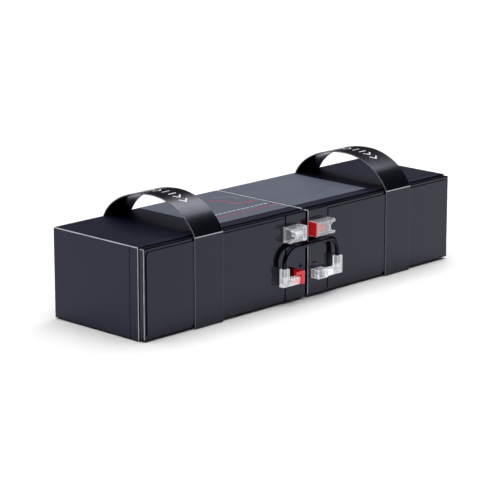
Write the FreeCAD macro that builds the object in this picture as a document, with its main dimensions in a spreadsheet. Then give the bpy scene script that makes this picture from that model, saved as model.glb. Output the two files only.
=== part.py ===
"""Battery cartridge for a rack UPS: two black modules end to end, joined by a jumper cable.

Each module holds two sealed 12 V blocks, which lie on their sides with their lids to the
front, in a five-sided rear case closed by a cap ring and a front panel. A pull strap goes
right round each module. Four sockets stand on the inner ends of the two panels: the upper
pair takes the plugs of the UPS, and the lower pair is bridged by the jumper.

Frame: X along the length, -Y to the connectors, +Z up. The origin is at the bottom centre of
the whole cartridge. A stretch along X is given by its near end, the one next to the middle
of the cartridge, and its length outwards. Heights called low are above the underside of the
cases.
"""
import FreeCAD, Part
import math
import os
import re

import Sketcher
from FreeCAD import Placement, Rotation, Vector

SIZES = {
    # Modules and their shells
    "module_gap": 1.0,  # gap between the two modules
    "module_length": 195.5,  # length of one module
    "case_height": 79.0,  # height of the rear case and the cap
    "case_wall": 2.0,  # wall of the rear case and the cap
    "case_edge": 0.8,  # rounding of the long edges of case and cap
    "rim_chamfer": 0.5,  # bevel on the front rim of the cap and the rear rim of the case
    "rear_case_depth": 93.7,  # rear case, front to back
    "cap_depth": 9.9,  # visible depth of the cap ring
    "cap_shoulder": 2.0,  # thick rear rim of the cap that carries its lip
    "seam_chamfer": 0.35,  # bevel on each side of the seam between cap and case
    "lip_length": 4.0,  # lip of the cap inside the rear case
    "lip_wall": 1.2,  # wall of that lip
    "fit_clearance": 0.15,  # clearance of a part that slides into another
    # Front panel and its cover plate
    "panel_inset": 1.0,  # panel outline inside the case outline
    "panel_depth": 5.8,  # front of the raised pad to the panel's rear edge
    "panel_groove": 1.0,  # open groove between panel and cap
    "panel_face": 1.6,  # front wall of the panel behind the plate
    "panel_edge": 0.5,  # bevel on the panel's outer edges
    "neck_length": 4.0,  # neck of the panel inside the cap
    "neck_wall": 1.6,  # wall of that neck
    "boss_length": 25.5,  # raised pad under the sockets, along X
    "plate_thickness": 1.0,  # cover plate, flush with the raised pad
    "plate_margin": 2.4,  # open border round the plate
    "plate_gap": 0.7,  # gap between the plate and the raised pad
    "plate_radius": 3.5,  # outer corner radius of the plate
    "plate_edge": 0.25,  # bevel of the plate's front edges
    # Films on top
    "film_thickness": 0.3,  # glossy film on the top of each module
    "film_length": 96.6,  # film along X
    "film_setback": 1.2,  # film edge inside the case edges
    # Pull straps
    "strap_width": 33.3,  # width of a pull strap
    "strap_thickness": 1.0,  # thickness of a pull strap
    "strap_bend": 0.9,  # rounding where a strap turns under the module
    "strap_offset": 57.9,  # outer end of the module to the strap
    "arch_rise": 26.8,  # clear height under the arch of the strap
    "arch_crown": 51.0,  # front face to the highest point of the arch
    "arch_front_drop": 45.1,  # vertical half axis of the arch's front ellipse
    "arch_rear_drop": 36.9,  # vertical half axis of the arch's rear ellipse
    # Sealed battery blocks
    "lid_setback": 7.4,  # front face of the module to the lids of its blocks
    "block_edge": 1.5,  # bevel on the long edges of a block
    "lid_depth": 6.0,  # lid of a block
    "lid_groove": 0.8,  # groove between lid and container
    "vent_gap": 3.0,  # terminal collars to the cover strip over the vents in the lid
    "vent_width": 13.0,  # width of the vent cover strip
    "vent_height": 0.8,  # vent cover strip above the lid
    "end_pad": 3.0,  # foam pad at each end of a module
    "divider_pad": 5.5,  # foam pad between the two blocks of a module
    "base_pad": 2.5,  # foam pad under the blocks
    "top_pad": 2.5,  # foam pad over the blocks
    "pad_setback": 0.5,  # foam pads behind the lip of the cap
    "terminal_inset": 11.0,  # axis of a terminal to the end of its block
    "terminal_size": 6.4,  # side of a square terminal stud
    "terminal_height": 2.6,  # terminal above the lid
    "collar_size": 10.0,  # side of the square collar under a terminal stud
    "collar_height": 1.4,  # height of that collar
    # Flat conductors behind the panels
    "strip_width": 8.0,  # width of a flat copper conductor
    "strip_thickness": 0.6,  # thickness of a flat copper conductor
    # Sockets: shared by all four
    "contact_depth": 5.2,  # axis of the contacts in front of the panel
    "nose_side": 4.2,  # square nose round a contact
    "nose_length": 8.6,  # nose beyond the face that carries it
    "nose_bore": 3.1,  # bore of the nose
    "pin_diameter": 1.6,  # contact pin in the nose
    "pin_recess": 1.2,  # pin end inside the mouth of the nose
    "tail_width": 1.2,  # tail of a contact, along X
    "tail_height": 2.0,  # tail of a contact, along Z
    "peg_width": 2.4,  # peg of a socket in the panel, along X
    "peg_height": 4.0,  # peg of a socket in the panel, along Z
    "peg_setback": 1.4,  # axis of peg and tail inside the outer face that carries the nose
    # Upper sockets
    "socket_reach": 9.6,  # upper sockets stand this far in front of the panel
    "shroud_near_left": 9.8,  # near end of the upper left socket
    "shroud_near_right": 2.0,  # near end of the upper right socket
    "shroud_tip_left": 30.2,  # middle of the cartridge to the mouth of the upper left socket
    "shroud_tip_right": 26.6,  # middle of the cartridge to the mouth of the upper right socket
    "shroud_drop": 10.8,  # top of the case to the top of the upper sockets
    "shroud_height": 13.2,  # height of the upper sockets
    "shroud_wall": 1.2,  # front, top and bottom walls of a shroud
    "shroud_back": 2.0,  # back wall of a shroud, on the panel
    "shroud_edge": 0.6,  # rounding of the shroud
    "notch_width": 8.4,  # finger notch in the front wall of a shroud
    "notch_length": 6.2,  # depth of that notch from the mouth
    "insert_length": 4.4,  # polarity insert at the near end of a shroud
    "head_length": 1.0,  # head of an insert, outside the end of its shroud
    "head_inset": 0.4,  # head inside the outer faces of the shroud
    # Lower bases
    "base_low": 16.8,  # underside of the lower bases and plugs
    "base_near_left": 12.4,  # near end of the lower left base
    "base_length_left": 4.4,  # length of the lower left base
    "base_height_left": 11.6,  # height of the lower left base
    "base_near_right": 5.8,  # near end of the lower right base
    "base_length_right": 11.9,  # length of the lower right base
    "base_height_right": 7.6,  # height of the lower right base
    "base_reach": 9.4,  # lower bases stand this far in front of the panel
    "latch_length": 6.2,  # latch arm beyond the lower left base
    "latch_thickness": 2.7,  # latch arm, top to bottom
    "latch_depth": 2.0,  # latch arm, front to back
    # Jumper between the lower sockets
    "plug_length": 20.3,  # plug along X
    "plug_height": 16.0,  # leg of a plug, from its underside to the cable exit
    "plug_depth": 5.4,  # plug, front to back
    "plug_edge": 0.4,  # bevel on the top and the long lower edges of a plug
    "foot_height": 6.4,  # foot of a plug
    "leg_length": 6.8,  # leg of a plug, along X
    "nose_clearance": 0.2,  # clearance round and beyond the nose in a plug
    "sleeve_wall": 0.5,  # wall of the female contact in a plug
    "sleeve_setback": 0.8,  # female contact inside the mating face of a plug
    "pin_clearance": 0.05,  # clearance between pin and female contact
    "barrel_wall": 0.7,  # wall of the crimp barrel
    "barrel_height": 5.2,  # crimp barrel above the axis of the contacts
    "cable_diameter": 4.6,  # jumper cable over its jacket
    "core_diameter": 2.6,  # copper core of the jumper, bared at its ends
    "cable_insert": 7.4,  # jacket inside the leg of a plug
    "core_insert": 11.0,  # core inside the leg of a plug
    "core_cover": 4.0,  # jacket over each bared end of the core
    "cable_drop": 5.2,  # underside of the upper sockets to the axis of the jumper's upper run
    "bend_left": 14.0,  # bend radius of the jumper, left
    "bend_right": 12.5,  # bend radius of the jumper, right
}

document = FreeCAD.newDocument("battery_cartridge")
sheet = document.addObject("Spreadsheet::Sheet", "sizes")
for row, (name, value) in enumerate(SIZES.items(), 1):
    sheet.set(f"A{row}", name)
    sheet.set(f"B{row}", str(value))
    sheet.setAlias(f"B{row}", name)
document.recompute()

# Places and lengths that several pieces share, as formulas over the sheet's names
BODY_DEPTH = "(panel_depth + panel_groove + cap_depth + rear_case_depth)"
FRONT = f"((socket_reach - {BODY_DEPTH} - strap_thickness) / 2)"
PANEL_FACE = f"({FRONT} + plate_thickness)"
PANEL_REAR = f"({FRONT} + panel_depth)"
CAP_FRONT = f"({PANEL_REAR} + panel_groove)"
SEAM = f"({CAP_FRONT} + cap_depth)"
REAR = f"({SEAM} + rear_case_depth)"
CASE_TOP = "(strap_thickness + case_height)"
NECK_INSET = "(case_wall + fit_clearance)"
BLOCK_NEAR = "(module_gap / 2 + case_wall + end_pad)"
BLOCK_LENGTH = "((module_length - 2 * case_wall - 2 * end_pad - divider_pad) / 2)"
BLOCK_DEPTH = f"({BODY_DEPTH} - case_wall - lid_setback)"
BLOCK_HEIGHT = "(case_height - 2 * case_wall - base_pad - top_pad)"
BLOCK_FAR = f"({BLOCK_NEAR} + {BLOCK_LENGTH} + divider_pad)"
BLOCK_LOW = "(strap_thickness + case_wall + base_pad)"
BLOCK_FRONT = f"({FRONT} + lid_setback)"
TERMINAL_AXIS = f"({BLOCK_LOW} + {BLOCK_HEIGHT} / 2)"
STRIP_FRONT = f"({BLOCK_FRONT} - terminal_height - strip_thickness)"
CONTACT_Y = f"({FRONT} - contact_depth)"
SHROUD_LOW = f"({CASE_TOP} - shroud_drop - shroud_height)"
UPPER_AXIS = f"({SHROUD_LOW} + shroud_height / 2)"
LOWER_AXIS = "(strap_thickness + base_low + foot_height / 2)"
PIN_REACH = "(nose_length - pin_recess)"
SLEEVE_DIAMETER = "(pin_diameter + 2 * pin_clearance + 2 * sleeve_wall)"
BARREL_DIAMETER = "(core_diameter + 2 * barrel_wall)"


# ---- Tools of the model: formulas, sketches, features and primitives ----

def formula(text):
    """Turn a formula over the sheet's names into an expression of the document."""
    return re.sub(r"[a-z_]+", lambda word: "sizes." + word[0] if word[0] in SIZES else word[0], text)


def tie(thing, path, text):
    """Bind one property of an object to a formula over the sheet."""
    thing.setExpression(path, formula(text))


probe = document.addObject("App::FeaturePython", "probe")
probe.addProperty("App::PropertyFloat", "Result")


def number(text):
    """Work a formula out, for choosing edges and for shapes that no feature makes."""
    tie(probe, "Result", text)
    probe.recompute()
    return probe.Result


def start(side, near, length):
    """Lower X of a stretch that begins at near and runs outwards on one side."""
    return near if side == "right" else f"(-({near} + {length}))"


def centre(side, near):
    """X of a point that lies at near on one side."""
    return near if side == "right" else f"(-({near}))"


def rectangle(left, low, width, height):
    """Corners of an upright rectangle, anticlockwise, as pairs of formulas."""
    right, top = f"({left} + {width})", f"({low} + {height})"
    return [(left, low), (right, low), (right, top), (left, top)]


def inset_outline(side, inset):
    """End outline of a module's case, drawn in by an inset."""
    width = f"(module_length - 2 * {inset})"
    left = start(side, f"(module_gap / 2 + {inset})", width)
    return rectangle(left, f"(strap_thickness + {inset})", width, f"(case_height - 2 * {inset})")


def new_body(name):
    """Body for one sub-part, with the name of its node."""
    body = document.addObject("PartDesign::Body", name)
    body.Label = name
    return body


def draw(body, name, y, outlines):
    """Sketch closed outlines in a plane square to Y, every corner tied to the sheet."""
    sketch = body.newObject("Sketcher::SketchObject", f"{body.Name}_{name}")
    plane = next(item for item in body.Origin.OriginFeatures if item.Role == "XZ_Plane")
    sketch.AttachmentSupport = [(plane, "")]
    sketch.MapMode = "FlatFace"
    tie(sketch, "AttachmentOffset.Base.z", f"-({y})")
    for corners in outlines:
        first, count = sketch.GeometryCount, len(corners)
        turns = [2 * math.pi * index / count for index in range(count)]
        points = [Vector(math.cos(turn), math.sin(turn), 0) for turn in turns]
        for index in range(count):
            sketch.addGeometry(Part.LineSegment(points[index], points[(index + 1) % count]), False)
        for index, (across, up) in enumerate(corners):
            line, following = first + index, first + (index + 1) % count
            sketch.addConstraint(Sketcher.Constraint("Coincident", line, 2, following, 1))
            for kind, text in (("DistanceX", across), ("DistanceY", up)):
                row = sketch.addConstraint(Sketcher.Constraint(kind, line, 1, 1.0))
                tie(sketch, f"Constraints[{row}]", text)
    return sketch


def extrude(body, kind, name, y, outlines, depth):
    """Pad or Pocket that runs to the rear from the plane at y."""
    sketch = draw(body, f"{name}_outline", y, outlines)
    feature = body.newObject(f"PartDesign::{kind}", f"{body.Name}_{name}")
    feature.Profile = sketch
    tie(feature, "Length", depth)
    feature.Reversed = kind == "Pad"
    feature.Refine = True
    return feature


def dress(body, kind, name, text, chosen):
    """Fillet or Chamfer on the edges that the test picks from the body as it stands."""
    document.recompute()
    tip = body.Tip
    picked = [f"Edge{index}" for index, edge in enumerate(tip.Shape.Edges, 1) if chosen(edge.BoundBox)]
    feature = body.newObject(f"PartDesign::{kind}", f"{body.Name}_{name}")
    feature.Base = (tip, picked)
    tie(feature, "Radius" if kind == "Fillet" else "Size", text)
    return feature


def along(edge_box, axis):
    """True for an edge that runs straight along X, Y or Z."""
    spans = {"X": edge_box.XLength, "Y": edge_box.YLength, "Z": edge_box.ZLength}
    longest = spans.pop(axis)
    return longest > 0.01 and max(spans.values()) < 0.001


def at_depth(edge_box, y):
    """True for an edge that lies in the plane at y."""
    return abs(edge_box.YMin - y) < 0.001 and abs(edge_box.YMax - y) < 0.001


def box(name, x, y, z, length, width, height):
    """Box with its corner and its three sides tied to the sheet."""
    solid = document.addObject("Part::Box", name)
    for path, text in (("Placement.Base.x", x), ("Placement.Base.y", y), ("Placement.Base.z", z),
                       ("Length", length), ("Width", width), ("Height", height)):
        tie(solid, path, text)
    return solid


AXES = {"X": Rotation(Vector(0, 0, 1), Vector(1, 0, 0)), "Y": Rotation(Vector(0, 0, 1), Vector(0, 1, 0)),
        "Z": Rotation()}


def rod(name, axis, x, y, z, diameter, length):
    """Round rod along an axis, with its low end and its sizes tied to the sheet."""
    solid = document.addObject("Part::Cylinder", name)
    solid.Placement = Placement(Vector(), AXES[axis])
    for path, text in (("Placement.Base.x", x), ("Placement.Base.y", y), ("Placement.Base.z", z),
                       ("Radius", f"{diameter} / 2"), ("Height", length)):
        tie(solid, path, text)
    return solid


def fuse(name, solids):
    """Union of solids, without the seams between them."""
    union = document.addObject("Part::MultiFuse", name)
    union.Shapes = solids
    union.Refine = True
    return union


def cut(name, solid, tools):
    """A solid less one tool, or less several."""
    rest = document.addObject("Part::Cut", name)
    rest.Base = solid
    rest.Tool = tools[0] if len(tools) == 1 else fuse(f"{name}_tools", tools)
    rest.Refine = True
    return rest


def edged(kind, name, solid, text, chosen):
    """A solid with a Fillet or a Chamfer on the edges that the test picks."""
    document.recompute()
    amount = number(text)
    feature = document.addObject(f"Part::{kind}", name)
    feature.Base = solid
    feature.Edges = [(index, amount, amount) for index, edge in enumerate(solid.Shape.Edges, 1)
                     if chosen(edge.BoundBox)]
    return feature


# ---- Shells of a module ----

def rear_case(side):
    """Five-sided tray that the blocks slide into from the front."""
    body = new_body(f"rear_case_{side}")
    extrude(body, "Pad", "block", SEAM, [inset_outline(side, "0")], "rear_case_depth")
    rear, seam = number(REAR), number(SEAM)
    dress(body, "Fillet", "edges", "case_edge", lambda edge: along(edge, "Y"))
    dress(body, "Chamfer", "rim", "rim_chamfer", lambda edge: at_depth(edge, rear))
    dress(body, "Chamfer", "seam", "seam_chamfer", lambda edge: at_depth(edge, seam))
    extrude(body, "Pocket", "hollow", SEAM, [inset_outline(side, "case_wall")],
            "(rear_case_depth - case_wall)")
    return body


def front_cap(side):
    """Ring that closes the case to the panel, with a lip that goes into the rear case."""
    body = new_body(f"front_cap_{side}")
    extrude(body, "Pad", "ring", CAP_FRONT, [inset_outline(side, "0")], "cap_depth")
    face, seam = number(CAP_FRONT), number(SEAM)
    dress(body, "Fillet", "edges", "case_edge", lambda edge: along(edge, "Y"))
    dress(body, "Chamfer", "rim", "rim_chamfer", lambda edge: at_depth(edge, face))
    dress(body, "Chamfer", "seam", "seam_chamfer", lambda edge: at_depth(edge, seam))
    extrude(body, "Pad", "lip", SEAM, [inset_outline(side, NECK_INSET)], "lip_length")
    extrude(body, "Pocket", "mouth", CAP_FRONT, [inset_outline(side, "case_wall")],
            "(cap_depth - cap_shoulder)")
    extrude(body, "Pocket", "bore", CAP_FRONT, [inset_outline(side, f"({NECK_INSET} + lip_wall)")],
            "(cap_depth + lip_length)")
    return body


INSERT_END = {side: f"(shroud_near_{side} + insert_length)" for side in ("left", "right")}
PLUG_NEAR = {side: f"(base_near_{side} + base_length_{side})" for side in ("left", "right")}
UPPER_TAIL = {side: f"({INSERT_END[side]} - peg_setback)" for side in ("left", "right")}
LOWER_TAIL = {side: f"({PLUG_NEAR[side]} - peg_setback)" for side in ("left", "right")}


def front_panel(side):
    """Panel with a raised pad for the sockets at its near end and a neck that enters the cap."""
    body = new_body(f"front_panel_{side}")
    extrude(body, "Pad", "face", PANEL_FACE, [inset_outline(side, "panel_inset")],
            "(panel_depth - plate_thickness)")
    pad = rectangle(start(side, "(module_gap / 2 + panel_inset)", "boss_length"),
                    "(strap_thickness + panel_inset)", "boss_length", "(case_height - 2 * panel_inset)")
    extrude(body, "Pad", "boss", FRONT, [pad], "plate_thickness")
    document.recompute()
    outer = body.Tip.Shape.BoundBox
    front = number(FRONT)

    def on_outline(edge):
        """True for the front and corner edges of the panel, without the step beside the boss."""
        ends = abs(edge.XMin - outer.XMin) < 0.001 or abs(edge.XMax - outer.XMax) < 0.001
        sides = abs(edge.ZMin - outer.ZMin) < 0.001 or abs(edge.ZMax - outer.ZMax) < 0.001
        at_front = edge.YMax < number(PANEL_FACE) + 0.001 and (along(edge, "X") or along(edge, "Z"))
        corner = along(edge, "Y") and ends and sides
        return corner or at_depth(edge, front) or (at_front and (ends or along(edge, "X")))

    dress(body, "Chamfer", "edges", "panel_edge", on_outline)
    extrude(body, "Pad", "neck", PANEL_REAR, [inset_outline(side, NECK_INSET)],
            "(panel_groove + neck_length)")
    extrude(body, "Pocket", "hollow", f"({PANEL_FACE} + panel_face)",
            [inset_outline(side, f"({NECK_INSET} + neck_wall)")],
            "(panel_depth - plate_thickness - panel_face + panel_groove + neck_length)")
    holes = []
    for tail, axis in ((UPPER_TAIL[side], UPPER_AXIS), (LOWER_TAIL[side], LOWER_AXIS)):
        width, height = "(peg_width + 2 * fit_clearance)", "(peg_height + 2 * fit_clearance)"
        left, low = f"({centre(side, tail)} - {width} / 2)", f"({axis} - {height} / 2)"
        holes.append(rectangle(left, low, width, height))
    extrude(body, "Pocket", "peg_holes", FRONT, holes, "(plate_thickness + panel_face)")
    return body


def front_plate(side):
    """Cover plate that lies on the panel, flush with its raised pad."""
    body = new_body(f"front_plate_{side}")
    length = "(module_length - 2 * panel_inset - boss_length - plate_gap - plate_margin)"
    near = "(module_gap / 2 + panel_inset + boss_length + plate_gap)"
    outline = rectangle(start(side, near, length), "(strap_thickness + panel_inset + plate_margin)", length,
                        "(case_height - 2 * panel_inset - 2 * plate_margin)")
    extrude(body, "Pad", "sheet", FRONT, [outline], "plate_thickness")
    far = number(centre(side, f"({near} + {length})"))
    dress(body, "Fillet", "corners", "plate_radius",
          lambda edge: along(edge, "Y") and abs(edge.XMin - far) < 0.001)
    front = number(FRONT)
    dress(body, "Chamfer", "front_edges", "plate_edge", lambda edge: at_depth(edge, front))
    return body


def top_film(side):
    """Glossy film on the inner half of a module's top, behind the cap."""
    return box(f"top_film_{side}", start(side, "(module_gap / 2 + film_setback)", "film_length"),
               f"({SEAM} + film_setback)", CASE_TOP, "film_length", "(rear_case_depth - 2 * film_setback)",
               "film_thickness")


# ---- Pull straps ----

def ellipse_arc(y, z, half_y, half_z, first, last):
    """Arc of an upright ellipse in the YZ plane, between two angles from the rearward direction."""
    middle = Vector(0, y, z)
    rearward, upward = middle + Vector(0, half_y, 0), middle + Vector(0, 0, half_z)
    if half_y >= half_z:
        return Part.ArcOfEllipse(Part.Ellipse(rearward, upward, middle), first, last).toShape()
    quarter = math.pi / 2
    ellipse = Part.Ellipse(upward, rearward, middle)
    return Part.ArcOfEllipse(ellipse, quarter - last, quarter - first).toShape()


def arch(offset):
    """Front and rear arcs of the arch, at an offset outwards from its inner face, and their feet."""
    crown = number(f"{FRONT} + arch_crown")
    top = number(f"{CASE_TOP} + arch_rise")
    arcs, feet = [], []
    for end, foot_drop, drop in (("front", "(arch_rise + panel_inset)", "arch_front_drop"),
                                 ("rear", "arch_rise", "arch_rear_drop")):
        reach = abs(number(FRONT if end == "front" else REAR) - crown)
        half_z = number(drop)
        half_y = reach / math.sqrt(1 - ((half_z - number(foot_drop)) / half_z) ** 2) + offset
        half_z += offset
        turn = math.acos((reach + offset) / half_y)
        low = top - number(drop)
        if end == "front":
            arcs.append(ellipse_arc(crown, low, half_y, half_z, math.pi / 2, math.pi - turn))
            feet.append(Vector(0, crown - reach - offset, low + half_z * math.sin(turn)))
        else:
            arcs.append(ellipse_arc(crown, low, half_y, half_z, turn, math.pi / 2))
            feet.append(Vector(0, crown + reach + offset, low + half_z * math.sin(turn)))
    return arcs, feet


def strap(side):
    """Flat band right round a module: close on its front, underside and rear, arched over its top."""
    loops = []
    for offset in (number("strap_thickness"), 0.0):
        arcs, (front_foot, rear_foot) = arch(offset)
        low = number("strap_thickness") - offset
        corners = [front_foot, Vector(0, front_foot.y, low), Vector(0, rear_foot.y, low), rear_foot]
        lines = [Part.makeLine(corners[index], corners[index + 1]) for index in range(3)]
        loops.append(Part.Wire(Part.__sortEdges__(lines + arcs)))
    outer, inner = loops
    band = Part.Face(outer).cut(Part.Face(inner)).extrude(Vector(number("strap_width"), 0, 0))
    low_corners = [edge for edge in band.Edges if along(edge.BoundBox, "X") and edge.BoundBox.ZMax < 0.001]
    band = band.makeFillet(number("strap_bend"), low_corners)
    piece = document.addObject("Part::Feature", f"strap_{side}")
    piece.Shape = band
    near = "(module_gap / 2 + module_length - strap_offset - strap_width)"
    piece.Placement = Placement(Vector(number(start(side, near, "strap_width")), 0, 0), Rotation())
    return piece


# ---- Battery blocks, foam pads and flat conductors ----

def block_near(place):
    """Near X of the inner or the outer block of a module."""
    return BLOCK_NEAR if place == "inner" else BLOCK_FAR


def battery_block(side, place):
    """Sealed 12 V block on its side, with its lid and vent strip to the front."""
    body = new_body(f"battery_block_{side}_{place}")
    left = start(side, block_near(place), BLOCK_LENGTH)
    outline = rectangle(left, BLOCK_LOW, BLOCK_LENGTH, BLOCK_HEIGHT)
    extrude(body, "Pad", "container", BLOCK_FRONT, [outline], BLOCK_DEPTH)
    dress(body, "Chamfer", "long_edges", "block_edge", lambda edge: along(edge, "Y"))
    line = rectangle(f"({left} + lid_groove)", f"({BLOCK_LOW} + lid_groove)",
                     f"({BLOCK_LENGTH} - 2 * lid_groove)", f"({BLOCK_HEIGHT} - 2 * lid_groove)")
    wide = rectangle(f"({left} - lid_groove)", f"({BLOCK_LOW} - lid_groove)",
                     f"({BLOCK_LENGTH} + 2 * lid_groove)", f"({BLOCK_HEIGHT} + 2 * lid_groove)")
    extrude(body, "Pocket", "lid_line", f"({BLOCK_FRONT} + lid_depth)", [wide, line], "lid_groove")
    margin = "(terminal_inset + collar_size / 2 + vent_gap)"
    strip = rectangle(f"({left} + {margin})", f"({TERMINAL_AXIS} - vent_width / 2)",
                      f"({BLOCK_LENGTH} - 2 * {margin})", "vent_width")
    extrude(body, "Pad", "vent_strip", f"({BLOCK_FRONT} - vent_height)", [strip], "vent_height")
    return body


def terminal_near(place, end):
    """Near X of the axis of a terminal at the near or the far end of a block."""
    if end == "near":
        return f"({block_near(place)} + terminal_inset)"
    return f"({block_near(place)} + {BLOCK_LENGTH} - terminal_inset)"


def terminal(side, place, end):
    """Square stud on a square collar, moulded into the lid of a block."""
    name = f"terminal_{side}_{place}_{end}"
    x = centre(side, terminal_near(place, end))
    solids = [box(f"{name}_{part}", f"({x} - {part}_size / 2)", f"({BLOCK_FRONT} - {part}_height)",
                  f"({TERMINAL_AXIS} - {part}_size / 2)", f"{part}_size", f"{part}_height", f"{part}_size")
              for part in ("collar", "terminal")]
    return fuse(name, solids)


def strip_run(name, side, near, far, low, high):
    """Flat conductor between two near distances and two heights, in front of the terminals."""
    length = f"({far} - ({near}))"
    return box(name, start(side, near, length), STRIP_FRONT, low, length, "strip_thickness",
               f"({high} - ({low}))")


def link(side):
    """Strip that joins the two blocks of a module in series."""
    return strip_run(f"link_{side}", side, f"({terminal_near('inner', 'far')} - strip_width / 2)",
                     f"({terminal_near('outer', 'near')} + strip_width / 2)",
                     f"({TERMINAL_AXIS} - strip_width / 2)", f"({TERMINAL_AXIS} + strip_width / 2)")


def lead(level, side):
    """Cranked strip from a terminal to the tail of a contact, above or below the terminals."""
    name = f"{level}_lead_{side}"
    if level == "upper":
        terminal_at, tail, axis = terminal_near("outer", "far"), UPPER_TAIL[side], UPPER_AXIS
        low, high = f"({TERMINAL_AXIS} - strip_width / 2)", f"({axis} + strip_width / 2)"
    else:
        terminal_at, tail, axis = terminal_near("inner", "near"), LOWER_TAIL[side], LOWER_AXIS
        low, high = f"({axis} - strip_width / 2)", f"({TERMINAL_AXIS} + strip_width / 2)"
    riser = strip_run(f"{name}_riser", side, f"({terminal_at} - strip_width / 2)",
                      f"({terminal_at} + strip_width / 2)", low, high)
    run = strip_run(f"{name}_run", side, f"({tail} - tail_width / 2)", f"({terminal_at} + strip_width / 2)",
                    f"({axis} - strip_width / 2)", f"({axis} + strip_width / 2)")
    return fuse(name, [riser, run])


def foam_pads(side):
    """Foam between the blocks and round them, behind the lip of the cap."""
    y = f"({SEAM} + lip_length + pad_setback)"
    depth = "(rear_case_depth - lip_length - pad_setback - case_wall)"
    inside = "(module_length - 2 * case_wall)"
    inner = "(module_gap / 2 + case_wall)"
    stretches = {"inner": (inner, "end_pad"), "divider": (f"({BLOCK_NEAR} + {BLOCK_LENGTH})", "divider_pad"),
                 "outer": (f"({BLOCK_FAR} + {BLOCK_LENGTH})", "end_pad")}
    pads = [box(f"{place}_pad_{side}", start(side, near, length), y, BLOCK_LOW, length, depth, BLOCK_HEIGHT)
            for place, (near, length) in stretches.items()]
    for place, z in (("base", "(strap_thickness + case_wall)"), ("top", f"({BLOCK_LOW} + {BLOCK_HEIGHT})")):
        pads.append(box(f"{place}_pad_{side}", start(side, inner, inside), y, z, inside, depth,
                        f"{place}_pad"))
    return pads


# ---- Sockets ----

def contact_solids(name, side, tail, carrier_end, axis):
    """Round pin along X and the flat tail that leaves it through the panel to its lead."""
    pin_length = f"({carrier_end} + {PIN_REACH} - {tail})"
    pin = rod(f"{name}_pin", "X", start(side, tail, pin_length), CONTACT_Y, axis, "pin_diameter", pin_length)
    back = box(f"{name}_tail", f"({centre(side, tail)} - tail_width / 2)", CONTACT_Y,
               f"({axis} - tail_height / 2)", "tail_width", f"({STRIP_FRONT} - {CONTACT_Y})", "tail_height")
    return [pin, back]


def carrier(name, side, body, tail, carrier_end, axis):
    """Moulded carrier of a contact: its body, its square nose and its peg, less the contact."""
    nose = box(f"{name}_nose", start(side, carrier_end, "nose_length"), f"({CONTACT_Y} - nose_side / 2)",
               f"({axis} - nose_side / 2)", "nose_length", "nose_side", "nose_side")
    bore = rod(f"{name}_bore", "X", start(side, carrier_end, "nose_length"), CONTACT_Y, axis, "nose_bore",
               "nose_length")
    peg = box(f"{name}_peg", f"({centre(side, tail)} - peg_width / 2)", FRONT, f"({axis} - peg_height / 2)",
              "peg_width", "(plate_thickness + panel_face)", "peg_height")
    seat = fuse(f"{name}_contact_seat", contact_solids(f"{name}_seat", side, tail, carrier_end, axis))
    return cut(name, fuse(f"{name}_moulding", body + [nose, peg]), [bore, seat])


def upper_insert(side):
    """Polarity insert: its head closes the near end of a shroud, its block carries the contact."""
    near = f"shroud_near_{side}"
    name = f"upper_insert_{side}"
    head = box(f"{name}_head", start(side, near, "head_length"), f"({FRONT} - socket_reach + head_inset)",
               f"({SHROUD_LOW} + head_inset)", "head_length", "(socket_reach - head_inset)",
               "(shroud_height - 2 * head_inset)")
    block = box(f"{name}_block", start(side, near, "insert_length"),
                f"({FRONT} - socket_reach + shroud_wall + fit_clearance)",
                f"({SHROUD_LOW} + shroud_wall + fit_clearance)", "insert_length",
                "(socket_reach - shroud_wall - fit_clearance)",
                "(shroud_height - 2 * shroud_wall - 2 * fit_clearance)")
    return carrier(name, side, [head, block], UPPER_TAIL[side], INSERT_END[side], UPPER_AXIS)


def shroud(side):
    """Clear box round an upper contact, open outwards, with a finger notch in its front wall."""
    near, tip, name = f"(shroud_near_{side} + head_length)", f"shroud_tip_{side}", f"shroud_{side}"
    length, inner = f"({tip} - {near})", f"({tip} - {INSERT_END[side]})"
    face = f"({FRONT} - socket_reach)"
    shell = box(f"{name}_shell", start(side, near, length), face, SHROUD_LOW, length,
                "socket_reach", "shroud_height")
    front = number(face)
    shell = edged("Fillet", f"{name}_rounded", shell, "shroud_edge", lambda edge: at_depth(edge, front))
    inner_height = "(shroud_height - 2 * shroud_wall)"
    cavity = box(f"{name}_cavity", start(side, INSERT_END[side], inner), f"({face} + shroud_wall)",
                 f"({SHROUD_LOW} + shroud_wall)", inner, "(socket_reach - shroud_wall - shroud_back)",
                 inner_height)
    seat_length = "(insert_length - head_length)"
    seat = box(f"{name}_seat", start(side, near, seat_length), f"({face} + shroud_wall)",
               f"({SHROUD_LOW} + shroud_wall)", seat_length, "(socket_reach - shroud_wall)", inner_height)
    slot_length = "(notch_length - notch_width / 2)"
    slot = box(f"{name}_slot", start(side, f"({tip} - {slot_length})", slot_length), face,
               f"({UPPER_AXIS} - notch_width / 2)", slot_length, "shroud_wall", "notch_width")
    slot_end = rod(f"{name}_slot_end", "Y", centre(side, f"({tip} - {slot_length})"), face, UPPER_AXIS,
                   "notch_width", "shroud_wall")
    return cut(name, shell, [cavity, seat, slot, slot_end])


def lower_base(side):
    """Base of a lower socket; the left one has a latch arm over the plug."""
    near, length, name = f"base_near_{side}", f"base_length_{side}", f"lower_base_{side}"
    face, low = f"({FRONT} - base_reach)", "(strap_thickness + base_low)"
    height = f"base_height_{side}"
    solids = [box(f"{name}_block", start(side, near, length), face, low, length, "base_reach", height)]
    if side == "left":
        arm = f"({length} + latch_length)"
        solids.append(box(f"{name}_latch", start(side, near, arm), face,
                          f"({low} + {height} - latch_thickness)", arm, "latch_depth", "latch_thickness"))
    return carrier(name, side, solids, LOWER_TAIL[side], PLUG_NEAR[side], LOWER_AXIS)


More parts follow.
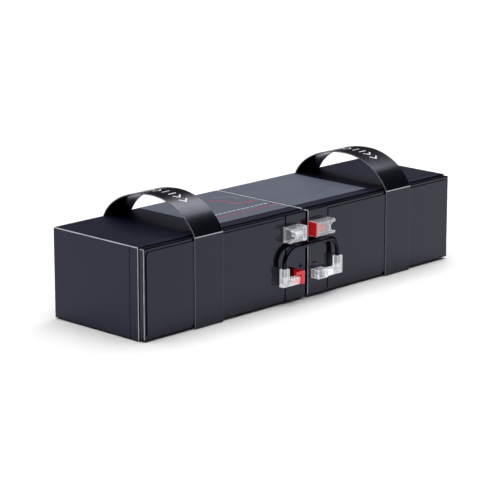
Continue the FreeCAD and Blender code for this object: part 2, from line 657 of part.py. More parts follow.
def contact(level, side):
    """Tinned contact of a socket."""
    name = f"{level}_contact_{side}"
    if level == "upper":
        tail, carrier_end, axis = UPPER_TAIL[side], INSERT_END[side], UPPER_AXIS
    else:
        tail, carrier_end, axis = LOWER_TAIL[side], PLUG_NEAR[side], LOWER_AXIS
    return fuse(name, contact_solids(name, side, tail, carrier_end, axis))


# ---- Jumper ----

CABLE_X = {side: f"({PLUG_NEAR[side]} + plug_length - leg_length / 2)" for side in ("left", "right")}
PLUG_TOP = "(strap_thickness + base_low + plug_height)"


def plug(side):
    """Clear L-shaped plug: its foot goes over the nose of a lower base, its leg holds the cable."""
    name, near = f"plug_{side}", PLUG_NEAR[side]
    low = "(strap_thickness + base_low)"
    y = f"({CONTACT_Y} - plug_depth / 2)"
    foot = box(f"{name}_foot", start(side, near, "plug_length"), y, low, "plug_length", "plug_depth",
               "foot_height")
    leg_near = f"({near} + plug_length - leg_length)"
    leg = box(f"{name}_leg", start(side, leg_near, "leg_length"), y, low, "leg_length", "plug_depth",
              "plug_height")
    top, bottom = number(PLUG_TOP), number(low)
    moulding = edged("Chamfer", f"{name}_moulding", fuse(f"{name}_joined", [foot, leg]), "plug_edge",
                     lambda edge: edge.ZMin > top - 0.001
                     or (along(edge, "X") and edge.ZMax < bottom + 0.001))
    hollow = "(nose_side + 2 * nose_clearance)"
    depth = "(nose_length + nose_clearance)"
    nose_seat = box(f"{name}_nose_seat", start(side, near, depth), f"({CONTACT_Y} - {hollow} / 2)",
                    f"({LOWER_AXIS} - {hollow} / 2)", depth, hollow, hollow)
    x = centre(side, CABLE_X[side])
    sleeve_length = f"({CABLE_X[side]} - {near})"
    sleeve_seat = rod(f"{name}_sleeve_seat", "X", start(side, near, sleeve_length), CONTACT_Y, LOWER_AXIS,
                      SLEEVE_DIAMETER, sleeve_length)
    barrel_seat = rod(f"{name}_barrel_seat", "Z", x, CONTACT_Y, LOWER_AXIS, BARREL_DIAMETER,
                      f"({PLUG_TOP} - {LOWER_AXIS})")
    cable_seat = rod(f"{name}_cable_seat", "Z", x, CONTACT_Y, f"({PLUG_TOP} - cable_insert)",
                     "cable_diameter", "cable_insert")
    return cut(name, moulding, [nose_seat, sleeve_seat, barrel_seat, cable_seat])


def crimp_terminal(side):
    """Right-angle crimp terminal: a sleeve over the contact pin and a barrel on the cable's core."""
    name, near = f"crimp_terminal_{side}", PLUG_NEAR[side]
    x = centre(side, CABLE_X[side])
    sleeve_near = f"({near} + sleeve_setback)"
    sleeve_length = f"({CABLE_X[side]} - {sleeve_near})"
    sleeve = rod(f"{name}_sleeve", "X", start(side, sleeve_near, sleeve_length), CONTACT_Y, LOWER_AXIS,
                 SLEEVE_DIAMETER, sleeve_length)
    barrel = rod(f"{name}_barrel", "Z", x, CONTACT_Y, LOWER_AXIS, BARREL_DIAMETER, "barrel_height")
    bore_length = f"({PIN_REACH} + nose_clearance - sleeve_setback)"
    bore = rod(f"{name}_bore", "X", start(side, sleeve_near, bore_length), CONTACT_Y, LOWER_AXIS,
               "(pin_diameter + 2 * pin_clearance)", bore_length)
    core_seat = rod(f"{name}_core_seat", "Z", x, CONTACT_Y, f"({PLUG_TOP} - core_insert)", "core_diameter",
                    f"(core_insert - ({PLUG_TOP} - {LOWER_AXIS} - barrel_height))")
    return cut(name, fuse(f"{name}_blank", [sleeve, barrel]), [bore, core_seat])


def jumper_jacket():
    """Jacket of the jumper: up from one plug, across in two bends, and down to the other."""
    name, solids, bores = "jumper_jacket", [], []
    low = f"({PLUG_TOP} - cable_insert)"
    run_z = f"({SHROUD_LOW} - cable_drop)"
    for side in ("left", "right"):
        bend = f"bend_{side}"
        x = centre(side, CABLE_X[side])
        solids.append(rod(f"{name}_riser_{side}", "Z", x, CONTACT_Y, low, "cable_diameter",
                          f"({run_z} - {bend} - {low})"))
        bores.append(rod(f"{name}_bore_{side}", "Z", x, CONTACT_Y, low, "core_diameter", "core_cover"))
        turn = document.addObject("Part::Torus", f"{name}_bend_{side}")
        facing = Rotation(Vector(0, 0, 1), 0 if side == "right" else 180)
        turn.Placement = Placement(Vector(), facing * Rotation(Vector(1, 0, 0), 90))
        turn.Angle3 = 90
        for path, text in (("Placement.Base.x", centre(side, f"({CABLE_X[side]} - {bend})")),
                           ("Placement.Base.y", CONTACT_Y), ("Placement.Base.z", f"({run_z} - {bend})"),
                           ("Radius1", bend), ("Radius2", "cable_diameter / 2")):
            tie(turn, path, text)
        solids.append(turn)
    left = f"(-({CABLE_X['left']} - bend_left))"
    length = f"({CABLE_X['left']} - bend_left + {CABLE_X['right']} - bend_right)"
    solids.append(rod(f"{name}_crossing", "X", left, CONTACT_Y, run_z, "cable_diameter", length))
    return cut(name, fuse(f"{name}_route", solids), bores)


def jumper_core():
    """The two bared ends of the jumper's copper core; between them the jacket is left solid."""
    ends = [rod(f"jumper_core_{side}", "Z", centre(side, CABLE_X[side]), CONTACT_Y,
                f"({PLUG_TOP} - core_insert)", "core_diameter", "(core_insert - cable_insert + core_cover)")
            for side in ("left", "right")]
    return fuse("jumper_core", ends)


# ---- The cartridge ----

subparts = []
for hand in ("left", "right"):
    subparts += [rear_case(hand), front_cap(hand), front_panel(hand), front_plate(hand), top_film(hand),
                 strap(hand)]
    for where in ("inner", "outer"):
        subparts.append(battery_block(hand, where))
        subparts += [terminal(hand, where, end) for end in ("near", "far")]
    subparts += foam_pads(hand)
    subparts += [link(hand), lead("upper", hand), lead("lower", hand)]
    subparts += [upper_insert(hand), shroud(hand), lower_base(hand)]
    subparts += [contact("upper", hand), contact("lower", hand)]
    subparts += [plug(hand), crimp_terminal(hand)]
subparts += [jumper_jacket(), jumper_core()]
document.recompute()

faults = [item.Name for item in document.Objects if {"Invalid", "Error"} & set(item.State)]
for piece in subparts:
    piece.Label = piece.Name
    if piece.Shape.isNull() or not piece.Shape.isValid():
        faults.append(piece.Name)
if faults:
    raise RuntimeError(f"these objects did not build: {sorted(set(faults))}")

os.makedirs("parts", exist_ok=True)
for piece in subparts:
    piece.Shape.exportStep(f"parts/{piece.Label}.step")
    print(f"{piece.Label}: {len(piece.Shape.Solids)} solid, {piece.Shape.Volume:.1f} cubic mm")
print(f"jumper bends: radius {number('bend_left'):.1f} mm left and {number('bend_right'):.1f} mm right")
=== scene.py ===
import math

import bpy
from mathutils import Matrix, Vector


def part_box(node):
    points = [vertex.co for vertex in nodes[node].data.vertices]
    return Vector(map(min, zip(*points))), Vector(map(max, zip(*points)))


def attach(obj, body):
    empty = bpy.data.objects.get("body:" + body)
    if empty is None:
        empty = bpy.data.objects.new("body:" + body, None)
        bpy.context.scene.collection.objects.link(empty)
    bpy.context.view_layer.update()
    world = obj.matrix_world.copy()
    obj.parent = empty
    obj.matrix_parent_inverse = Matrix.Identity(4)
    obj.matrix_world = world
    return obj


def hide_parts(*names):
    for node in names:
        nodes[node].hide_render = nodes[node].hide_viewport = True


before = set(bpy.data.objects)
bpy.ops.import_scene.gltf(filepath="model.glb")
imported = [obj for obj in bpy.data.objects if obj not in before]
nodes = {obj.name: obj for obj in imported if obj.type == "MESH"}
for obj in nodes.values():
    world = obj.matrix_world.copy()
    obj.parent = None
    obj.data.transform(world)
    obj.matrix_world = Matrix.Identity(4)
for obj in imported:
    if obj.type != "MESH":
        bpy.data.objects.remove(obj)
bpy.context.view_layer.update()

# ---- Rear cases and front caps ----
# Each module is a five-sided tray with a cap ring pushed on its mouth, both injection moulded in
# black ABS. The spark-eroded tool leaves a satin grain that spreads every highlight softly. The
# edges at the ends of a module get a paler colour in patches, a painted highlight.

SIDES = ("left", "right")
MM = 0.001
MODULE_MIDDLE = 98.25  # |X| of the middle of a module
MODULE_REACH = 94.5  # from there along X to just short of the handled edges at both ends
SEAM_FRONT = -36.0  # the front edges of cap and panel lie in front of this Y, their seam behind it


def linear(hex_colour):
    """The linear RGBA of an sRGB hex colour."""
    parts = [int(hex_colour[index:index + 2], 16) / 255 for index in (1, 3, 5)]
    return [part / 12.92 if part <= 0.04045 else ((part + 0.055) / 1.055) ** 2.4 for part in parts] + [1]


def add_node(tree, kind, sockets=(), **settings):
    """Add one shader node, set its properties, and set or link its inputs."""
    node = tree.nodes.new(kind)
    for name, setting in settings.items():
        setattr(node, name, setting)
    for name, source in dict(sockets).items():
        if isinstance(source, bpy.types.NodeSocket):
            tree.links.new(source, node.inputs[name])
        else:
            node.inputs[name].default_value = source
    return node


def new_material(name):
    """An empty node material, its tree, and the place on the piece that its patterns follow."""
    material = bpy.data.materials.new(name)
    material.use_nodes = True
    tree = material.node_tree
    tree.nodes.clear()
    return material, tree, add_node(tree, "ShaderNodeTexCoord").outputs["Object"]


EDGE_SLANT, EDGE_SPREAD = 0.57, 0.41  # an edge's normal has an X share of 0.16 to 0.98
EDGE_TURN = 0.15  # share of Z or -Y by which an edge's normal leans up or forward
HIGHLIGHT_PATCH_WIDTH = 12.0  # patches of the painted highlight along an edge


def painted_edge_highlight(tree, place):
    """About 1 on the end edges of a module that take a painted highlight, in patches, and 0 elsewhere."""
    surface = add_node(tree, "ShaderNodeNewGeometry")
    normal = add_node(tree, "ShaderNodeSeparateXYZ", {0: surface.outputs["True Normal"]})
    axes = add_node(tree, "ShaderNodeSeparateXYZ", {0: place})
    sideways = add_node(tree, "ShaderNodeMath", {0: normal.outputs["X"]}, operation="ABSOLUTE")
    slanting = add_node(tree, "ShaderNodeMath", {0: sideways.outputs[0], 1: EDGE_SLANT, 2: EDGE_SPREAD},
                        operation="COMPARE")
    from_middle = add_node(tree, "ShaderNodeMath", {0: axes.outputs["X"]}, operation="ABSOLUTE")
    mid_span = add_node(tree, "ShaderNodeMath", {0: from_middle.outputs[0], 1: MODULE_MIDDLE * MM,
                                                 2: MODULE_REACH * MM}, operation="COMPARE")
    at_end = add_node(tree, "ShaderNodeMath", {0: 1.0, 1: mid_span.outputs[0]}, operation="SUBTRACT")
    upper = add_node(tree, "ShaderNodeMath", {0: normal.outputs["Z"], 1: EDGE_TURN},
                     operation="GREATER_THAN")
    facing_front = add_node(tree, "ShaderNodeMath", {0: normal.outputs["Y"], 1: -EDGE_TURN},
                            operation="LESS_THAN")
    in_front = add_node(tree, "ShaderNodeMath", {0: axes.outputs["Y"], 1: SEAM_FRONT * MM},
                        operation="LESS_THAN")
    forward = add_node(tree, "ShaderNodeMath", {0: facing_front.outputs[0], 1: in_front.outputs[0]},
                       operation="MULTIPLY")
    # Edges that face up, or forward at the front, are the ones that take the painted highlight.
    facing_up_or_front = add_node(tree, "ShaderNodeMath", {0: upper.outputs[0], 1: forward.outputs[0]},
                       operation="MAXIMUM")
    patches = add_node(tree, "ShaderNodeTexNoise", {"Vector": place, "Scale": 1 / (HIGHLIGHT_PATCH_WIDTH * MM)})
    highlight_patchiness = add_node(tree, "ShaderNodeMapRange", {"Value": patches.outputs["Fac"], "From Min": 0.3,
                                                 "From Max": 0.6, "To Min": 0.75})
    mask = highlight_patchiness.outputs["Result"]
    for share in (slanting, at_end, facing_up_or_front):
        mask = add_node(tree, "ShaderNodeMath", {0: mask, 1: share.outputs[0]},
                        operation="MULTIPLY").outputs[0]
    return mask


FACE_GLOSS, EDGE_GLOSS = 0.5, 0.05  # specular level of the flat faces and of the rounded edges


def rounding_gloss(tree):
    """The gloss of the flat faces, and next to none on the rounded edges between them."""
    surface = add_node(tree, "ShaderNodeNewGeometry")
    size = add_node(tree, "ShaderNodeVectorMath", {0: surface.outputs["True Normal"]},
                    operation="ABSOLUTE")
    normal = add_node(tree, "ShaderNodeSeparateXYZ", {0: size.outputs[0]})
    largest = add_node(tree, "ShaderNodeMath", {0: normal.outputs["X"], 1: normal.outputs["Y"]},
                       operation="MAXIMUM")
    largest = add_node(tree, "ShaderNodeMath", {0: largest.outputs[0], 1: normal.outputs["Z"]},
                       operation="MAXIMUM")
    # A flat face looks along one axis, so its largest share is 1, and an edge's is clearly less.
    return add_node(tree, "ShaderNodeMapRange",
                    {"Value": largest.outputs[0], "From Min": 0.97, "From Max": 0.995,
                     "To Min": EDGE_GLOSS, "To Max": FACE_GLOSS}).outputs["Result"]


MOTTLE_WIDTH = 45.0  # length over which the two shades of a moulding drift


def black_abs(name, dark, light, edge_highlight, roughness, grain_mm, grain_height_mm, tint):
    """ABS in two close shades, with a painted highlight on its end edges and a grain in its bump and its
    shine.
    """
    material, tree, place = new_material(name)
    grain = add_node(tree, "ShaderNodeTexNoise", {"Vector": place, "Scale": 1 / (grain_mm * MM),
                                                  "Detail": 3.0}).outputs["Fac"]
    mottle = add_node(tree, "ShaderNodeTexNoise", {"Vector": place, "Scale": 1 / (MOTTLE_WIDTH * MM)})
    shade = add_node(tree, "ShaderNodeMix", {"Factor": mottle.outputs["Fac"], 6: linear(dark),
                                             7: linear(light)}, data_type="RGBA")
    # The end edges are mixed towards the edge colour: a painted highlight.
    colour = add_node(tree, "ShaderNodeMix", {"Factor": painted_edge_highlight(tree, place), 6: shade.outputs[2],
                                              7: linear(edge_highlight)}, data_type="RGBA")
    shine = add_node(tree, "ShaderNodeMapRange", {"Value": grain, "From Min": 0.3, "From Max": 0.7,
                                                  "To Min": roughness - 0.03, "To Max": roughness + 0.03})
    bump = add_node(tree, "ShaderNodeBump", {"Height": grain, "Strength": 0.2,
                                             "Distance": grain_height_mm * MM})
    plastic = add_node(tree, "ShaderNodeBsdfPrincipled",
                       {"Base Color": colour.outputs[2], "Roughness": shine.outputs["Result"],
                        "IOR": 1.46, "Specular IOR Level": rounding_gloss(tree),
                        "Specular Tint": linear(tint), "Normal": bump.outputs["Normal"]})
    add_node(tree, "ShaderNodeOutputMaterial", {"Surface": plastic.outputs[0]})
    return material


def dress(node_name, material):
    """Give a CAD node one material."""
    piece = nodes[node_name]
    piece.data.materials.clear()
    piece.data.materials.append(material)
    return piece


# The real grain is about 0.1 mm wide. It is drawn at 0.4 mm, so that it shows from close by.
# The pale edge colour is a painted highlight on the end edges of cases and caps.
grained_abs = black_abs("spark_eroded_black_abs", dark="#090b1d", light="#0c0e22", edge_highlight="#cacbd5",
                        roughness=0.4, grain_mm=0.4, grain_height_mm=0.015, tint="#cfd4ff")
for side in SIDES:
    dress(f"rear_case_{side}", grained_abs)
    dress(f"front_cap_{side}", grained_abs)

# ---- Foam pads ----
# Sheets of closed-cell polyethylene foam, cut with a knife, pack the blocks tightly in the tray.
# The cells show as a fine pebbled surface without any shine.

CELL_WIDTH, CELL_DEPTH = 0.9, 0.2
foam_pe, tree, place = new_material("cut_polyethylene_foam")
cells = add_node(tree, "ShaderNodeTexVoronoi", {"Vector": place, "Scale": 1 / (CELL_WIDTH * MM)})
cell_bump = add_node(tree, "ShaderNodeBump", {"Height": cells.outputs["Distance"], "Strength": 0.6,
                                              "Distance": CELL_DEPTH * MM})
foam_shade = add_node(tree, "ShaderNodeMix", {"Factor": cells.outputs["Distance"],
                                              6: linear("#1d1d21"), 7: linear("#34343a")},
                      data_type="RGBA")
foam = add_node(tree, "ShaderNodeBsdfPrincipled",
                {"Base Color": foam_shade.outputs[2], "Roughness": 0.9,
                 "Normal": cell_bump.outputs["Normal"]})
add_node(tree, "ShaderNodeOutputMaterial", {"Surface": foam.outputs[0]})
for side in SIDES:
    for pad in ("inner", "divider", "outer", "base", "top"):
        dress(f"{pad}_pad_{side}", foam_pe)

# ---- Battery blocks ----
# Sealed 12 V blocks in dark grey ABS containers with welded lids, on their sides in the foam.
# The plain tool leaves a coarser and duller face than the case has, so they look chalky beside it.

# Their edge colour is a faint painted highlight on the end edges.
container_abs = black_abs("coarse_grained_grey_abs", dark="#26262b", light="#2f2f35", edge_highlight="#3a3a41",
                          roughness=0.55, grain_mm=0.7, grain_height_mm=0.03, tint="#ffffff")
for side in SIDES:
    for end in ("inner", "outer"):
        dress(f"battery_block_{side}_{end}", container_abs)

# ---- Terminals ----
# Cast lead posts in the lids of the blocks. Lead dulls within days to a blotchy grey skin with
# little lustre.


def metal(name, dark, light, roughness, grain_mm, stretch=(1, 1, 1)):
    """Metal in two close shades that follow its grain, which also varies its shine."""
    material, tree, place = new_material(name)
    drawn_out = add_node(tree, "ShaderNodeVectorMath", {0: place, 1: stretch}, operation="MULTIPLY")
    grain = add_node(tree, "ShaderNodeTexNoise", {"Vector": drawn_out.outputs[0], "Detail": 3.0,
                                                  "Scale": 1 / (grain_mm * MM)}).outputs["Fac"]
    shade = add_node(tree, "ShaderNodeMix", {"Factor": grain, 6: linear(dark), 7: linear(light)},
                     data_type="RGBA")
    shine = add_node(tree, "ShaderNodeMapRange", {"Value": grain, "From Min": 0.3, "From Max": 0.7,
                                                  "To Min": roughness - 0.07, "To Max": roughness + 0.07})
    plain_metal = add_node(tree, "ShaderNodeBsdfPrincipled",
                           {"Base Color": shade.outputs[2], "Metallic": 1.0,
                            "Roughness": shine.outputs["Result"]})
    add_node(tree, "ShaderNodeOutputMaterial", {"Surface": plain_metal.outputs[0]})
    return material


dull_lead = metal("oxidised_cast_lead", dark="#6f7177", light="#9b9da3", roughness=0.5, grain_mm=1.2)
for name in nodes:
    if name.startswith("terminal"):
        dress(name, dull_lead)

# ---- Links and leads ----
# Strips of rolled copper, 0.6 mm thick, join the terminals and run to the sockets. Rolling leaves
# faint streaks along the strip, which stretch its reflections.

rolled_copper = metal("rolled_copper_strip", dark="#b8693f", light="#d08a60", roughness=0.28,
                      grain_mm=0.5, stretch=(0.06, 1, 1))
for name in nodes:
    if name.startswith("link") or "_lead_" in name:
        dress(name, rolled_copper)

# ---- Front panels ----
# One moulded black ABS panel closes each module, pushed into the cap by its neck. Its polished tool
# gives a near-mirror face, in which the sockets and the jumper show.

# The pale edge colour is a painted highlight on the end edges of the panels.
polished_abs = black_abs("polished_black_abs", dark="#05060f", light="#070812", edge_highlight="#c4c5cf",
                         roughness=0.13, grain_mm=0.8, grain_height_mm=0.002, tint="#dadaff")
for side in SIDES:
    dress(f"front_panel_{side}", polished_abs)

# ---- Cover plates ----
# A 1 mm sheet of calendered ABS is bonded to each panel, flush with the raised pad for the sockets.
# Its rolled face has nearly the panel's gloss, and a very slight waviness that softens reflections.

# The lighter edge colour is a faint painted highlight on the end edges of the plates.
sheet_abs = black_abs("calendered_black_abs", dark="#06070f", light="#080913", edge_highlight="#4a4b56",
                      roughness=0.16, grain_mm=2.5, grain_height_mm=0.004, tint="#d8d8ff")
for side in SIDES:
    dress(f"front_plate_{side}", sheet_abs)

# ---- Films ----
# A film of glossy printed polyester is stuck on the inner half of each top. The grey ground was
# laid down with a squeegee, which leaves faint streaks along the module.

STREAK_WIDTH = 6.0
film_pet, tree, place = new_material("printed_polyester_film")
pulled = add_node(tree, "ShaderNodeVectorMath", {0: place, 1: (0.15, 1, 1)}, operation="MULTIPLY")
streaks = add_node(tree, "ShaderNodeTexNoise", {"Vector": pulled.outputs[0], "Detail": 3.0,
                                                "Scale": 1 / (STREAK_WIDTH * MM)})
film_shade = add_node(tree, "ShaderNodeMix", {"Factor": streaks.outputs["Fac"],
                                              6: linear("#656a78"), 7: linear("#717685")},
                      data_type="RGBA")
film = add_node(tree, "ShaderNodeBsdfPrincipled",
                {"Base Color": film_shade.outputs[2], "Roughness": 0.2, "IOR": 1.57,
                 "Specular IOR Level": 0.35})
add_node(tree, "ShaderNodeOutputMaterial", {"Surface": film.outputs[0]})
for side in SIDES:
    dress(f"top_film_{side}", film_pet)

# ---- Printing on the left film ----
# Screen-printed ink on the left film: a red route line, a pale contour, a row of white dashes and
# a row of red ones. The ink is a few hundredths of a millimetre thick and matt, so it keeps its
# colour where the film round it mirrors the sky.


def new_piece(name, points, faces, material):
    """A mesh piece in metres from points in millimetres, riding on the cartridge."""
    mesh = bpy.data.meshes.new(name)
    mesh.from_pydata([tuple(value * MM for value in point) for point in points], [], faces)
    mesh.materials.append(material)
    piece = bpy.data.objects.new(name, mesh)
    bpy.context.scene.collection.objects.link(piece)
    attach(piece, "root")
    return piece


def ribbon(route, width):
    """Points and faces of a flat ribbon along a route of (u, v) pairs, mitred at its corners."""
    points = []
    for index, here in enumerate(route):
        here = Vector(here)
        before = (here - Vector(route[index - 1])).normalized() if index else None
        after = (Vector(route[index + 1]) - here).normalized() if index + 1 < len(route) else None
        along = ((before or after) + (after or before)).normalized()
        across = Vector((-along.y, along.x)) * (width / 2) / max(along.dot(before or after), 0.5)
        points += [here + across, here - across]
    faces = [(2 * index, 2 * index + 1, 2 * index + 3, 2 * index + 2) for index in range(len(route) - 1)]
    return points, faces


def ribbon_piece(name, routes, width, spot, material):
    """One piece of several ribbons, each point taken through spot(u, v) to millimetres."""
    points, faces = [], []
    for route in routes:
        own_points, own_faces = ribbon(route, width)
        faces += [tuple(index + len(points) for index in face) for face in own_faces]
        points += [spot(*point) for point in own_points]
    return new_piece(name, points, faces, material)


INK_DOT = 0.6  # coarser than the real screen of about 0.1 mm, so that the cover shows from close by


def ink(name, thin, full):
    """Matt screen ink whose cover varies a little from dot to dot."""
    material, tree, place = new_material(name)
    dots = add_node(tree, "ShaderNodeTexNoise", {"Vector": place, "Scale": 1 / (INK_DOT * MM)})
    cover = add_node(tree, "ShaderNodeMix", {"Factor": dots.outputs["Fac"], 6: linear(thin),
                                             7: linear(full)}, data_type="RGBA")
    dry_ink = add_node(tree, "ShaderNodeBsdfPrincipled", {"Base Color": cover.outputs[2],
                                                          "Roughness": 0.45, "Specular IOR Level": 0.3})
    add_node(tree, "ShaderNodeOutputMaterial", {"Surface": dry_ink.outputs[0]})
    return material


INK_HEIGHT = 0.03
film_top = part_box("top_film_left")[1].z / MM + INK_HEIGHT


def on_film(x, y):
    """The place of a print point on the left film."""
    return x, y, film_top


def dash_row(start, end, y, dash, gap):
    """Short straight routes along X at one depth."""
    count = int((end - start + gap) / (dash + gap))
    return [[(start + index * (dash + gap), y), (start + index * (dash + gap) + dash, y)]
            for index in range(count)]


LINE_WIDTH, WHITE_DASH_WIDTH = 2.0, 2.2
red_ink = ink("red_screen_ink", "#a34a59", "#b95061")
white_ink = ink("white_screen_ink", "#a6a9b1", "#bfc2c9")
grey_ink = ink("pale_grey_screen_ink", "#6e727b", "#7b7f88")
route_line = [(-37.2, 33.3), (-26.9, 21.1), (-29.5, 8.7), (-18.4, 4.7), (-12.6, 4.7), (-9.5, 7.5),
              (-4, 4.6)]
contour_line = [(-27, 37.5), (-14.5, 34.1), (-11.2, 29.1), (-12, 20.8)]
white_row = dash_row(start=-95, end=-3, y=-9.3, dash=3.9, gap=1.7)
red_row = dash_row(start=-95, end=-3, y=-18.5, dash=4.4, gap=1.4)
ribbon_piece("film_route_line", [route_line], LINE_WIDTH, on_film, red_ink)
ribbon_piece("film_contour_line", [contour_line], LINE_WIDTH, on_film, grey_ink)
ribbon_piece("film_white_dashes", white_row, WHITE_DASH_WIDTH, on_film, white_ink)
ribbon_piece("film_red_dashes", red_row, LINE_WIDTH, on_film, red_ink)

# ---- Straps ----
# A pull strap of calendered black PVC, 33 mm wide and 1 mm thick, is wrapped right round each
# module and welded below. The rolled face has an even sheen that draws a soft bright patch on the
# arch. A painted highlight runs along the crease at the top of the panel, and another along the
# cut edges of the band.

THICKNESS = 1.0
CROWN_SETBACK = 51.0  # from the front face to the highest point of the arch
FRONT_DROP, REAR_DROP = 45.1, 36.9  # half heights of the two ellipses that the arch follows
CORNER_ROUND = 0.9  # where the band turns under the module
ARC_STEPS = 48
strap_low, strap_high = (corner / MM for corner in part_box("strap_left"))
front_face = strap_low.y + THICKNESS
rear_face = strap_high.y - THICKNESS
arch_top = strap_high.z - THICKNESS
crown_y = front_face + CROWN_SETBACK
panel_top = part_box("front_panel_left")[1].z / MM
case_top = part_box("rear_case_left")[1].z / MM


def quarter_arch(offset, face, foot_z, drop):
    """(y, z) points of one side of the arch, from its crown to its foot, offset outwards."""
    side_sign = math.copysign(1, face - crown_y)
    reach = abs(face - crown_y)
    rise = (drop - (arch_top - foot_z)) / drop
    half_y = reach / math.sqrt(1 - rise ** 2) + offset
    half_z = drop + offset
    last = math.acos((reach + offset) / half_y)
    angles = [math.pi / 2 + (last - math.pi / 2) * step / ARC_STEPS for step in range(ARC_STEPS + 1)]
    return [(crown_y + side_sign * half_y * math.cos(angle), arch_top - drop + half_z * math.sin(angle))
            for angle in angles]


def strap_outline(offset):
    """(y, z) points right round the strap at an offset outwards from its inner face."""
    front = quarter_arch(offset, front_face, panel_top, FRONT_DROP)
    rear = quarter_arch(offset, rear_face, case_top, REAR_DROP)
    low = THICKNESS - offset
    turn = CORNER_ROUND if offset else CORNER_ROUND / 2
    corners = [(front[-1][0], low + turn), (front[-1][0] + turn, low),
               (rear[-1][0] - turn, low), (rear[-1][0], low + turn)]
    return front + corners + rear[:0:-1]


CREASE_HALF = 0.45  # half the height of the painted crease highlight
ROLL_WIDTH, ROLL_HEIGHT = 3.0, 0.02  # roll marks run round the band
pvc_band, tree, place = new_material("calendered_black_pvc")
surface = add_node(tree, "ShaderNodeNewGeometry")
normal = add_node(tree, "ShaderNodeSeparateXYZ", {0: surface.outputs["True Normal"]})
sideways = add_node(tree, "ShaderNodeMath", {0: normal.outputs["X"]}, operation="ABSOLUTE")
# Faces turned sideways, the cut edges of the band, get a paler colour: a painted highlight.
cut_edge_highlight = add_node(tree, "ShaderNodeMath", {0: sideways.outputs[0], 1: 0.3}, operation="GREATER_THAN")
axes = add_node(tree, "ShaderNodeSeparateXYZ", {0: place})
# A thin strip along the crease at the top of the panel, in front, gets a near white: a painted highlight.
at_crease = add_node(tree, "ShaderNodeMath", {0: axes.outputs["Z"], 1: panel_top * MM,
                                              2: CREASE_HALF * MM}, operation="COMPARE")
in_front = add_node(tree, "ShaderNodeMath", {0: axes.outputs["Y"], 1: (front_face + 3 * THICKNESS) * MM},
                    operation="LESS_THAN")
crease_highlight = add_node(tree, "ShaderNodeMath", {0: at_crease.outputs[0], 1: in_front.outputs[0]},
                  operation="MULTIPLY")
round_band = add_node(tree, "ShaderNodeVectorMath", {0: place, 1: (1, 0.1, 0.1)}, operation="MULTIPLY")
roll = add_node(tree, "ShaderNodeTexNoise", {"Vector": round_band.outputs[0],
                                             "Scale": 1 / (ROLL_WIDTH * MM)}).outputs["Fac"]
shade = add_node(tree, "ShaderNodeMix", {"Factor": roll, 6: linear("#04050d"), 7: linear("#070811")},
                 data_type="RGBA")
# Painted highlights: a pale colour on the cut edges, then a near white along the crease.
edge_highlighted = add_node(tree, "ShaderNodeMix", {"Factor": cut_edge_highlight.outputs[0], 6: shade.outputs[2],
                                         7: linear("#7f808b")}, data_type="RGBA")
crease_highlighted = add_node(tree, "ShaderNodeMix", {"Factor": crease_highlight.outputs[0], 6: edge_highlighted.outputs[2],
                                           7: linear("#b9bac3")}, data_type="RGBA")
shine = add_node(tree, "ShaderNodeMapRange", {"Value": roll, "To Min": 0.2, "To Max": 0.27})
bump = add_node(tree, "ShaderNodeBump", {"Height": roll, "Strength": 0.1, "Distance": ROLL_HEIGHT * MM})
pvc = add_node(tree, "ShaderNodeBsdfPrincipled",
               {"Base Color": crease_highlighted.outputs[2], "Roughness": shine.outputs["Result"], "IOR": 1.47,
                "Specular Tint": linear("#d8d8ff"), "Normal": bump.outputs["Normal"]})
add_node(tree, "ShaderNodeOutputMaterial", {"Surface": pvc.outputs[0]})

EDGE_ROUND = 0.2
# The band is thinner than the strap by the height of the ink, so that the marks stay within it.
for side in SIDES:
    strap_low, strap_high = (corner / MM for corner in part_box(f"strap_{side}"))
    outer = strap_outline(THICKNESS - INK_HEIGHT)
    inner = strap_outline(0)
    count = len(outer)
    rings = [(strap_low.x, inner), (strap_low.x, outer), (strap_high.x, outer), (strap_high.x, inner)]
    strap_points = [(x, y, z) for x, outline in rings for y, z in outline]
    strap_faces = [(ring * count + index, ring * count + (index + 1) % count,
                    (ring + 1) % 4 * count + (index + 1) % count, (ring + 1) % 4 * count + index)
                   for ring in range(4) for index in range(count)]
    band = new_piece(f"strap_band_{side}", strap_points, strap_faces, pvc_band)
    rounding = band.modifiers.new("rounded_edges", "BEVEL")
    rounding.width = EDGE_ROUND * MM
    rounding.segments = 2
    rounding.limit_method = "ANGLE"
    rounding.angle_limit = math.radians(60)
    rounding.harden_normals = True
    band.data.polygons.foreach_set("use_smooth", [True] * len(band.data.polygons))
    band.data.set_sharp_from_angle(angle=math.radians(20))
    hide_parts(f"strap_{side}")

# ---- Marks on the straps ----
# White screen-printed marks on each crown show where to pull: two bars across the band, with a
# pair of chevrons on each side. The dry ink follows the bend and stays white in the band's sheen.

crown_path = strap_outline(THICKNESS)
crown_path = crown_path[ARC_STEPS::-1] + crown_path[:-ARC_STEPS - 1:-1]
crown_lengths = [0.0]
for before, after in zip(crown_path, crown_path[1:]):
    crown_lengths.append(crown_lengths[-1] + math.dist(before, after))
crown_middle = crown_lengths[ARC_STEPS]


def on_arch(run, x):
    """The place of a point at a run along the arch, from the crown to the rear, and across at x."""
    length = crown_middle + run
    index = max(i for i, start in enumerate(crown_lengths[:-1]) if start <= length)
    share = (length - crown_lengths[index]) / (crown_lengths[index + 1] - crown_lengths[index])
    (y, z), (next_y, next_z) = crown_path[index], crown_path[index + 1]
    return x, y + share * (next_y - y), z + share * (next_z - z)


def fine_route(corners, step=1.0):
    """A route through the given corners with a point at least every step, so that it can bend."""
    route = [corners[0]]
    for start, end in zip(corners, corners[1:]):
        pieces = math.ceil(math.dist(start, end) / step)
        route += [(start[0] + (end[0] - start[0]) * part / pieces,
                   start[1] + (end[1] - start[1]) * part / pieces) for part in range(1, pieces + 1)]
    return route


